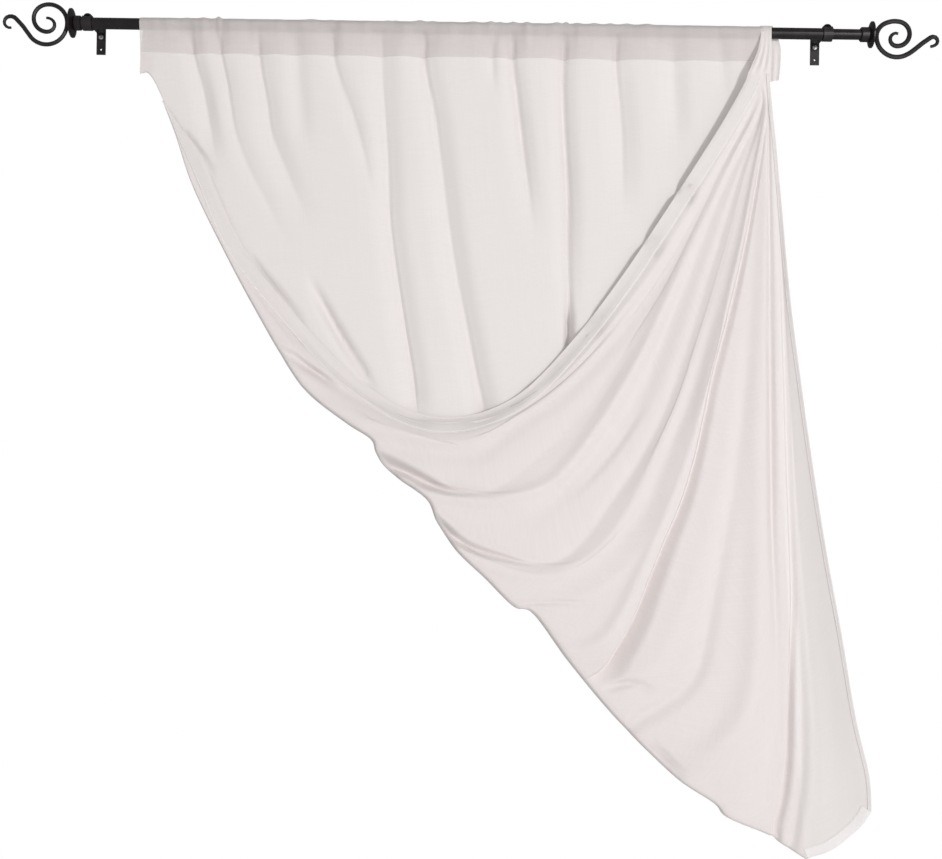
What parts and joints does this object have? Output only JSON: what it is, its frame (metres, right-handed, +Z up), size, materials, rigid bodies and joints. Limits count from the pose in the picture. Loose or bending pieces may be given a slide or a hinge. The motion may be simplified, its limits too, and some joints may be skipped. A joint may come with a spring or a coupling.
{
  "type": "curtain panel on a rod",
  "caption": "Semi-sheer rod-pocket curtain panel on a black metal rod with scroll finials, its lower corner brought up over the rod's end so that it hangs in swags.",
  "frame": {"origin": "middle of the left wall plate's back face, on the wall", "axes": "+X along the rod to the right, +Y into the wall, +Z up; the cloth hangs in front of the wall, at -Y"},
  "size_m": [1.6211, 0.1448, 1.4531],
  "materials": {
    "sheer_cloth": "plain-weave semi-sheer cloth, matt",
    "rod_black": "glossy black",
    "inner_tube_black": "glossy black",
    "bracket_black": "satin black",
    "knob_black": "satin black",
    "screw_steel": "plain steel",
    "sleeve_black": "satin black",
    "collar_black": "satin black",
    "scroll_black": "satin black, slightly uneven"
  },
  "bodies": {
    "root": {"curtain_panel": "sheer_cloth", "rod_outer_tube": "rod_black", "rod_inner_tube": "inner_tube_black", "bracket_left": "bracket_black", "bracket_right": "bracket_black", "knob_left": "knob_black", "knob_right": "knob_black", "plate_screw_left": "screw_steel", "plate_screw_right": "screw_steel", "sleeve_left": "sleeve_black", "sleeve_right": "sleeve_black", "collar_left": "collar_black", "collar_right": "collar_black", "scroll_left": "scroll_black", "scroll_right": "scroll_black"}
  },
  "joints": []
}
